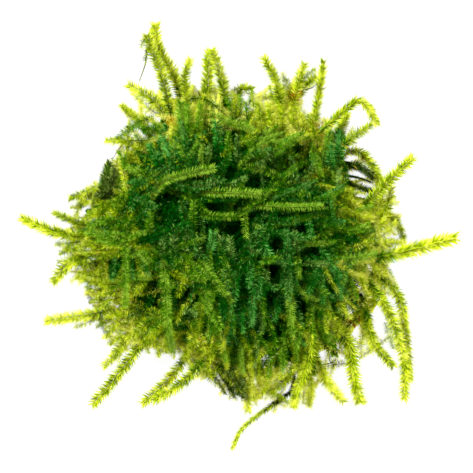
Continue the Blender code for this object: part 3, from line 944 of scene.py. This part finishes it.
growths = [Growth() for _ in tangle["sectors"]]
for row in layers.values():
    layer = dict(zip(layerColumns, row))
    grown = 0
    while grown < layer["shoots"]:
        points, reach, bearing, out = layerShoot(layer)
        if strays(points):
            continue
        if crosses(points, gaps, layer["margin"] + chance.uniform(0.0, tangle["gapMargin"])):
            continue
        if layer["clear"] and crosses(points, hollows, chance.uniform(*tangle["hollowMargin"])):
            continue
        grown += 1
        drift = noise.noise(Vector(points[-1]) / tangle["driftSize"])
        light = np.interp(out, *tangle["lightAt"]) + tangle["driftLight"] * drift
        light = light + layer["light"] + patchLight(points)
        light = light + min(chance.normal(0.0, tangle["lightJitter"]), tangle["mostLighter"])
        look, shade = lookFor(light)
        roll = chance.uniform(-tangle["roll"], tangle["roll"])
        growShoot(growths[sectorOf(bearing)], points, reach, look, shade, layer["habit"], roll=roll)

# Single strands that lie over the tangle: kind of leaf, its reach in mm and its shade,
# and then photo pixels across and down, from foot to tip.
strands = (
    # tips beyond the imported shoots
    ("young", 0.9, 0.12, 150, 37, 144, 42, 142, 49), ("young", 0.8, 0.12, 152, 44, 148, 52, 146, 62),
    ("young", 1.0, 0.45, 160, 116, 146, 106, 133, 93), ("young", 0.9, 0.25, 140, 122, 130, 116, 122, 105),
    ("young", 1.1, 0.3, 300, 96, 306, 86, 312, 78), ("young", 1.2, 0.35, 372, 246, 388, 243, 404, 244),
    ("young", 1.2, 0.4, 156, 42, 153, 34, 155, 28), ("young", 0.9, 0.35, 94, 320, 84, 324, 75, 327),
    ("old", 0.85, 0.4, 343, 163, 355, 166, 364, 171, 373, 178),
    ("old", 0.6, 0.4, 352, 166, 363, 172, 373, 180), ("old", 0.5, 0.4, 344, 175, 358, 178, 372, 183),
    ("old", 0.7, 0.4, 343, 180, 355, 186, 364, 189, 374, 191),
    ("deep", 1.0, 0.15, 342, 164, 345, 172, 344, 184), ("young", 1.0, 0.35, 354, 384, 357, 396, 365, 402),
    ("young", 0.9, 0.35, 282, 90, 285, 80, 283, 73), ("young", 1.0, 0.15, 302, 84, 308, 75, 315, 70),
    ("young", 1.1, 0.5, 297, 93, 306, 86, 316, 80), ("young", 1.0, 0.25, 293, 104, 290, 92, 287, 80),
    ("young", 0.9, 0.25, 276, 108, 273, 97, 270, 86), ("young", 0.9, 0.25, 90, 228, 73, 221, 58, 213),
    # north
    ("full", 1.2, 0.62, 178, 150, 181, 128, 181, 104), ("full", 1.1, 0.5, 190, 148, 189, 126, 187, 106),
    ("full", 1.1, 0.4, 199, 142, 199, 124, 201, 106),
    ("full", 1.1, 0.85, 204, 113, 224, 121, 246, 128, 256, 134),
    ("full", 0.7, 0.9, 203, 168, 201, 158, 203, 147), ("grey", 0.8, 0.55, 207, 163, 209, 155, 211, 146),
    ("cold", 1.2, 0.35, 218, 160, 218, 142, 216, 124), ("full", 0.9, 0.35, 228, 166, 228, 150, 229, 134),
    ("grey", 1.0, 0.35, 240, 165, 237, 150, 238, 138), ("full", 1.0, 0.45, 262, 165, 256, 152, 247, 142),
    ("grey", 0.9, 0.45, 249, 176, 258, 167, 268, 158, 278, 152),
    ("full", 0.9, 0.35, 233, 120, 231, 108, 226, 97),
    ("young", 0.8, 0.15, 229, 106, 231, 95, 238, 88, 247, 88),
    ("full", 0.8, 0.45, 245, 112, 250, 103, 252, 92), ("full", 0.8, 0.4, 238, 116, 241, 106, 240, 96),
    ("young", 0.9, 0.25, 236, 120, 236, 106, 233, 93), ("young", 0.9, 0.35, 250, 118, 254, 106, 252, 96),
    ("full", 0.9, 0.45, 246, 121, 247, 112, 245, 103), ("young", 1.1, 0.15, 262, 140, 261, 124, 258, 104),
    ("young", 1.2, 0.2, 272, 140, 271, 122, 268, 104), ("young", 1.1, 0.25, 283, 135, 282, 116, 279, 96),
    ("young", 1.1, 0.3, 296, 136, 292, 118, 290, 103), ("young", 1.0, 0.35, 306, 134, 301, 120, 297, 108),
    ("young", 1.0, 0.05, 318, 150, 314, 132, 309, 116), ("full", 1.0, 0.5, 325, 158, 327, 144, 330, 132),
    ("cold", 1.4, 0.75, 339, 168, 339, 150, 340, 132), ("cold", 1.2, 0.6, 331, 172, 330, 158, 331, 146),
    ("young", 0.9, 0.15, 342, 136, 345, 125, 348, 113), ("grey", 0.7, 0.75, 338, 192, 338, 182, 339, 170),
    ("grey", 0.8, 0.35, 300, 178, 309, 171, 318, 160), ("grey", 0.8, 0.3, 284, 182, 296, 178, 306, 180),
    # north-west
    ("cold", 1.2, 0.6, 165, 172, 158, 160, 150, 146), ("cold", 1.3, 0.7, 176, 168, 170, 152, 163, 139),
    ("full", 1.0, 0.55, 190, 170, 186, 158, 180, 146), ("full", 1.0, 0.55, 150, 176, 138, 172, 126, 166),
    ("cold", 0.9, 0.55, 158, 182, 144, 183, 130, 182), ("full", 1.0, 0.45, 140, 128, 150, 131, 160, 127),
    ("young", 0.8, 0.4, 152, 152, 143, 149, 135, 145),
    ("full", 1.1, 0.5, 154, 118, 140, 121, 128, 129, 117, 138),
    ("full", 0.9, 0.4, 158, 133, 146, 127, 134, 127), ("young", 0.9, 0.15, 140, 143, 130, 141, 119, 139),
    ("cold", 0.9, 0.45, 136, 184, 134, 196, 133, 210), ("grey", 0.7, 0.7, 125, 190, 126, 202, 125, 215),
    ("full", 1.0, 0.5, 117, 186, 117, 198, 116, 212), ("full", 1.0, 0.35, 128, 178, 125, 164, 120, 152),
    ("old", 1.3, 0.5, 104, 206, 104, 190, 106, 176, 109, 164),
    ("full", 1.2, 0.25, 98, 204, 103, 188, 108, 168), ("old", 1.2, 0.6, 110, 204, 111, 188, 114, 170),
    ("old", 1.0, 0.6, 114, 194, 106, 193, 96, 195),
    # west
    ("young", 1.2, 0.35, 112, 196, 100, 190, 88, 190, 79, 198),
    ("young", 1.1, 0.32, 106, 206, 92, 200, 80, 205, 76, 216),
    ("young", 1.1, 0.28, 110, 216, 98, 214, 84, 220), ("full", 1.1, 0.65, 120, 222, 104, 221, 90, 226),
    ("full", 1.1, 0.6, 128, 236, 108, 236, 88, 232), ("full", 1.0, 0.55, 135, 244, 118, 243, 100, 240),
    ("young", 0.9, 0.12, 112, 250, 98, 246, 84, 240), ("young", 1.1, 0.15, 104, 258, 90, 253, 78, 246),
    ("young", 1.0, 0.15, 96, 262, 84, 264, 72, 262), ("young", 0.9, 0.12, 104, 276, 92, 276, 80, 272),
    ("young", 1.0, 0.2, 120, 284, 106, 284, 92, 282), ("young", 1.0, 0.2, 98, 284, 88, 281, 77, 277),
    ("young", 1.0, 0.2, 124, 290, 112, 292, 100, 294), ("young", 0.9, 0.12, 102, 292, 94, 289, 86, 287),
    ("young", 1.0, 0.12, 86, 246, 73, 249, 60, 253), ("young", 1.0, 0.15, 84, 236, 70, 236, 56, 230),
    ("young", 0.9, 0.1, 80, 242, 68, 243, 56, 244), ("young", 1.0, 0.15, 88, 252, 72, 258, 58, 262),
    ("young", 1.0, 0.3, 150, 330, 156, 342, 158, 356), ("young", 0.9, 0.25, 168, 336, 166, 346, 158, 354),
    ("full", 1.0, 0.45, 153, 236, 150, 226, 152, 214), ("full", 0.9, 0.6, 160, 268, 150, 262, 140, 253),
    ("full", 0.8, 0.75, 124, 277, 138, 277, 152, 277), ("grey", 1.0, 0.42, 166, 262, 163, 248, 166, 236),
    ("grey", 1.1, 0.42, 176, 262, 174, 244, 176, 228), ("grey", 1.0, 0.45, 187, 262, 186, 246, 188, 232),
    ("grey", 1.0, 0.4, 200, 258, 198, 246, 200, 236), ("full", 1.0, 0.4, 195, 230, 193, 216, 194, 203),
    ("full", 1.0, 0.45, 197, 214, 215, 216, 240, 217), ("full", 0.9, 0.35, 182, 194, 196, 201, 206, 212),
    ("grey", 0.8, 0.5, 183, 186, 200, 184, 216, 183), ("grey", 0.8, 0.35, 222, 188, 234, 184, 246, 178),
    # middle
    ("cold", 1.2, 0.62, 209, 258, 211, 246, 213, 233), ("grey", 1.0, 0.45, 221, 260, 222, 248, 221, 237),
    ("grey", 1.0, 0.5, 230, 262, 231, 250, 230, 238), ("cold", 1.3, 0.68, 257, 232, 262, 244, 270, 257),
    ("full", 0.6, 0.75, 252, 224, 258, 227, 264, 230), ("grey", 0.7, 0.5, 247, 248, 252, 252, 260, 252),
    ("cold", 0.9, 0.7, 286, 258, 287, 244, 285, 230), ("grey", 0.9, 0.4, 296, 262, 296, 246, 294, 232),
    ("cold", 0.9, 0.55, 266, 222, 282, 221, 298, 222), ("cold", 0.9, 0.6, 306, 214, 308, 224, 311, 236),
    ("cold", 0.9, 0.5, 320, 226, 330, 222, 342, 222), ("cold", 1.0, 0.55, 238, 268, 236, 280, 236, 292),
    ("grey", 1.0, 0.45, 228, 264, 226, 276, 228, 290), ("cold", 0.9, 0.6, 248, 262, 250, 274, 248, 286),
    ("cold", 1.1, 0.75, 258, 268, 259, 282, 257, 296), ("grey", 0.8, 0.45, 268, 264, 266, 274, 268, 284),
    ("full", 0.8, 0.6, 216, 282, 224, 290, 232, 300), ("cold", 1.0, 0.75, 251, 292, 252, 308, 251, 324),
    ("cold", 1.0, 0.55, 243, 300, 241, 314, 242, 330), ("cold", 1.0, 0.55, 232, 304, 232, 318, 230, 332),
    ("cold", 0.9, 0.5, 222, 300, 224, 312, 222, 324), ("grey", 0.8, 0.4, 262, 306, 260, 318, 262, 330),
    ("cold", 0.8, 0.35, 275, 296, 277, 308, 274, 320), ("full", 1.1, 0.8, 290, 288, 290, 310, 292, 334),
    ("full", 1.1, 0.92, 208, 280, 210, 292, 208, 311), ("grey", 0.9, 0.65, 180, 308, 188, 310, 197, 314),
    ("full", 0.8, 0.5, 173, 296, 182, 290, 190, 281),
    # east
    ("grey", 0.8, 0.5, 300, 262, 312, 263, 326, 264), ("full", 0.9, 0.45, 316, 262, 330, 259, 345, 258),
    ("full", 1.2, 0.8, 340, 262, 356, 258, 374, 254), ("young", 0.9, 0.25, 350, 250, 362, 244, 374, 240),
    ("full", 0.9, 0.55, 345, 232, 356, 230, 368, 224), ("full", 0.9, 0.6, 350, 215, 360, 210, 372, 206),
    ("young", 0.9, 0.25, 352, 208, 349, 199, 351, 191), ("young", 0.8, 0.1, 344, 206, 343, 197, 346, 189),
    ("full", 0.9, 0.55, 330, 215, 332, 204, 330, 194), ("young", 1.1, 0.45, 375, 230, 384, 222, 388, 208),
    ("young", 1.1, 0.4, 372, 216, 380, 206, 384, 194), ("young", 1.0, 0.5, 378, 238, 388, 232, 396, 222),
    ("young", 1.0, 0.35, 353, 266, 360, 280, 368, 296), ("young", 0.9, 0.4, 366, 258, 375, 268, 384, 276),
    ("young", 0.9, 0.35, 364, 316, 374, 341, 390, 363), ("young", 0.8, 0.3, 384, 300, 390, 325, 397, 350),
    ("full", 0.9, 0.6, 345, 270, 350, 284, 356, 298), ("cold", 1.0, 0.65, 330, 270, 336, 284, 340, 298),
    ("cold", 0.9, 0.55, 318, 276, 322, 288, 322, 302), ("full", 0.8, 0.2, 362, 300, 366, 314, 366, 330),
    ("young", 1.0, 0.35, 336, 296, 342, 308, 350, 318),
    ("young", 1.0, 0.25, 326, 306, 334, 320, 342, 334), ("full", 0.9, 0.5, 318, 316, 324, 330, 336, 340),
    ("full", 0.9, 0.4, 318, 330, 326, 340, 334, 347), ("young", 0.9, 0.2, 338, 325, 336, 336, 330, 346),
    ("young", 0.9, 0.2, 308, 335, 316, 342, 320, 349),
    # south
    ("full", 0.9, 0.8, 310, 298, 310, 325, 308, 352, 303, 378),
    ("full", 0.9, 0.55, 298, 316, 300, 330, 296, 346), ("full", 0.8, 0.25, 318, 338, 314, 354, 314, 374),
    ("grey", 0.6, 0.6, 256, 332, 257, 350, 254, 366), ("full", 0.8, 0.75, 243, 336, 241, 352, 243, 372),
    ("young", 0.7, 0.35, 247, 342, 250, 356, 252, 374), ("full", 0.9, 0.5, 268, 345, 270, 360, 268, 376),
    ("full", 0.9, 0.55, 282, 342, 284, 356, 282, 370), ("young", 1.0, 0.4, 228, 362, 238, 376, 244, 392),
    ("young", 1.1, 0.65, 246, 370, 251, 382, 252, 398), ("young", 1.0, 0.3, 262, 368, 266, 382, 262, 394),
    ("young", 0.9, 0.35, 299, 378, 295, 394, 292, 406), ("young", 0.9, 0.4, 304, 358, 294, 368, 280, 376),
    ("young", 0.8, 0.15, 266, 386, 278, 396, 294, 406),
    ("young", 1.0, 0.25, 205, 364, 220, 371, 230, 379),
    ("old", 1.3, 0.5, 216, 362, 228, 373, 237, 384, 243, 396),
    ("old", 1.2, 0.6, 226, 362, 236, 374, 243, 386), ("young", 1.1, 0.02, 220, 364, 231, 377, 240, 391),
    ("old", 0.7, 0.45, 208, 368, 217, 380, 225, 394), ("old", 0.8, 0.4, 216, 368, 226, 382, 234, 397),
    ("young", 0.9, 0.3, 138, 334, 145, 343, 148, 352), ("young", 0.9, 0.3, 172, 338, 174, 348, 173, 357),
    ("young", 0.9, 0.12, 106, 296, 97, 298, 90, 302), ("young", 0.9, 0.15, 112, 318, 104, 322, 97, 326),
    ("young", 0.9, 0.2, 88, 203, 79, 206, 71, 207), ("young", 0.8, 0.2, 384, 322, 388, 334, 392, 348),
    ("young", 0.8, 0.3, 380, 258, 388, 270, 397, 286),
    ("full", 0.8, 0.12, 178, 99, 196, 99, 212, 104, 222, 112),
    ("young", 0.9, 0.2, 258, 384, 272, 394, 288, 404), ("young", 1.1, 0.12, 186, 357, 200, 366, 213, 376),
    ("young", 1.0, 0.15, 196, 366, 208, 376, 216, 384), ("young", 1.1, 0.3, 190, 330, 196, 342, 204, 352),
    ("young", 1.1, 0.3, 200, 330, 190, 346, 184, 360), ("young", 1.0, 0.25, 215, 334, 214, 350, 208, 364),
    ("young", 1.0, 0.45, 176, 345, 186, 358, 196, 372), ("full", 1.0, 0.55, 222, 330, 222, 346, 226, 360),
    # south-west
    ("young", 1.1, 0.25, 150, 318, 140, 330, 126, 338), ("young", 1.1, 0.3, 160, 322, 152, 336, 140, 346),
    ("young", 1.2, 0.3, 136, 306, 122, 312, 106, 316), ("young", 1.0, 0.35, 150, 338, 158, 346, 168, 350),
    ("young", 0.8, 0.5, 126, 344, 120, 352, 118, 362), ("young", 1.0, 0.2, 124, 296, 110, 300, 100, 308),
    ("young", 0.9, 0.4, 160, 330, 164, 340, 166, 352), ("young", 1.1, 0.3, 126, 316, 115, 325, 106, 336),
    ("young", 1.0, 0.25, 130, 330, 120, 336, 110, 344),
    # across the darkest hollows
    ("deep", 1.1, 0.5, 122, 254, 116, 265, 112, 278), ("deep", 0.9, 0.5, 134, 254, 131, 265, 134, 277),
)

# Bare stems, in the same way: width in mm, shade, and photo pixels.
bareStems = (
    (0.40, 0.80, 147, 51, 146, 65, 143, 74, 140, 82), (0.70, 0.10, 103, 200, 103, 182, 109, 162),
    (1.00, 0.10, 344, 163, 355, 166, 371, 176), (0.70, 0.10, 345, 176, 358, 178, 371, 182),
    (0.90, 0.10, 344, 181, 356, 187, 371, 190), (0.25, 0.10, 306, 90, 312, 88, 318, 83),
    (0.28, 0.10, 180, 99, 205, 100, 216, 108, 229, 119), (0.22, 0.10, 122, 144, 117, 151, 112, 160),
    (0.25, 0.10, 118, 141, 132, 141, 148, 141), (0.30, 0.10, 314, 345, 313, 362, 318, 374),
    (0.28, 0.10, 316, 364, 326, 365, 336, 360), (0.35, 0.10, 88, 303, 94, 303, 99, 303),
)

strandForm = {
    "step": 1.2 * mm,
    "lift": 1.0 * mm,
    "footDip": 2.0 * mm,
    "risenBy": 0.3,  # share of the length over which a strand comes up
    "fullness": 1.1,
    "smoothing": 5,  # points over which its height is evened out
    "roll": 20.0,
    "beyond": 1.5 * mm,  # past the mat's edge, a strand grows from the nearest packed shoot
    "droop": 0.12,  # and hangs by this share of its length
}


def strandRoute(places):
    spots = [(*fromPhoto(px, py), 0.0) for px, py in zip(places[::2], places[1::2])]
    line, length = smoothLine(spots, strandForm["step"])
    share = np.linspace(0.0, 1.0, len(line))
    footX, footY, _ = line[0]
    if math.hypot(footX, footY) > edgeAt(math.atan2(footY, footX)) + strandForm["beyond"]:
        nearest = np.hypot(*(packedSpots[:, :2] - (footX, footY)).T).argmin()
        line[:, 2] = packedSpots[nearest, 2] - strandForm["droop"] * length * share
        return line
    risen = np.clip(share / strandForm["risenBy"], 0.0, 1.0)
    tops = np.array([topAt(x, y) for x, y, _ in line])
    window = strandForm["smoothing"]
    tops = np.pad(tops, window // 2, mode="edge")
    tops = np.convolve(tops, np.full(window, 1.0 / window), "valid")
    line[:, 2] = tops + strandForm["lift"] * risen - strandForm["footDip"] * (1.0 - risen)
    return line


def sectorUnder(route):
    middle = route[len(route) // 2]
    return growths[sectorOf(math.atan2(middle[1], middle[0]) % math.tau)]


for kind, reach, shade, *places in strands:
    route = strandRoute(places)
    habit = "full" if kind == "old" else "feather"
    roll = chance.uniform(-strandForm["roll"], strandForm["roll"])
    reach = strandForm["fullness"] * reach * mm
    growShoot(sectorUnder(route), route, reach, kind + "Leaf", shade, habit, roll=roll, tintedAndShaded=False)
for width, shade, *places in bareStems:
    route = strandRoute(places)
    growStem(sectorUnder(route), route, width * mm, shade)

for growth, sector in zip(growths, tangle["sectors"]):
    piece = growth.piece("tangle_" + sector)
    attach(piece, "root")
    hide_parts("tangled_mat")
    print(piece.name, len(piece.data.polygons), "triangles")


# Floor and light.
stage = {
    "floorSize": 3.0,
    "floorColour": (0.06, 0.06, 0.06, 1.0),
    "floorRoughness": 0.6,
    "floorGlow": 0.94,
    "worldLight": 0.35,
    "lights": {
        # place, width and watts
        "softKey": ((-0.35, 0.35, 0.55), 0.25, 11.8),
        "softFill": ((0.45, -0.25, 0.5), 0.3, 4.0),
    },
}


def makeFloor():
    bm = bmesh.new()
    bmesh.ops.create_grid(bm, x_segments=1, y_segments=1, size=stage["floorSize"] / 2.0)
    mesh = bpy.data.meshes.new("floor")
    bm.to_mesh(mesh)
    bm.free()
    finish = Finish("paleFloor")
    surface = finish.node("ShaderNodeBsdfPrincipled", None, {
        "Base Color": stage["floorColour"], "Roughness": stage["floorRoughness"],
        "Emission Color": (1.0, 1.0, 1.0, 1.0), "Emission Strength": stage["floorGlow"],
    })
    finish.node("ShaderNodeOutputMaterial", None, {"Surface": surface})
    mesh.materials.append(finish.material)
    floor = bpy.data.objects.new("floor", mesh)
    bpy.context.scene.collection.objects.link(floor)


def makeLight(name, spot, size, power):
    data = bpy.data.lights.new(name, "AREA")
    data.shape = "DISK"
    data.size = size
    data.energy = power
    lamp = bpy.data.objects.new(name, data)
    lamp.location = spot
    lamp.rotation_euler = (-Vector(spot)).to_track_quat("-Z", "Y").to_euler()
    bpy.context.scene.collection.objects.link(lamp)


makeFloor()
for name, (spot, size, power) in stage["lights"].items():
    makeLight(name, spot, size, power)

world = bpy.data.worlds.new("studio")
world.use_nodes = True
background = world.node_tree.nodes["Background"]
background.inputs["Color"].default_value = (1.0, 1.0, 1.0, 1.0)
background.inputs["Strength"].default_value = stage["worldLight"]
bpy.context.scene.world = world
bpy.context.scene.view_settings.view_transform = "Standard"

view = {
    "height": 0.7,
    "level": 5.0 * mm,  # the height at which the photo's scale holds
    "sensor": 36.0,
    "clipStart": 0.01,
}
camera = bpy.data.objects.new("camera", bpy.data.cameras.new("camera"))
cameraX, cameraY = fromPhoto(photo["pixels"] / 2.0, photo["pixels"] / 2.0)
camera.location = (cameraX, cameraY, view["height"])
camera.data.sensor_width = view["sensor"]
framed = photo["pixels"] * photo["pixelSize"]  # how wide the photo is at that level
camera.data.lens = view["sensor"] * (view["height"] - view["level"]) / framed
camera.data.clip_start = view["clipStart"]
bpy.context.scene.collection.objects.link(camera)
bpy.context.scene.camera = camera
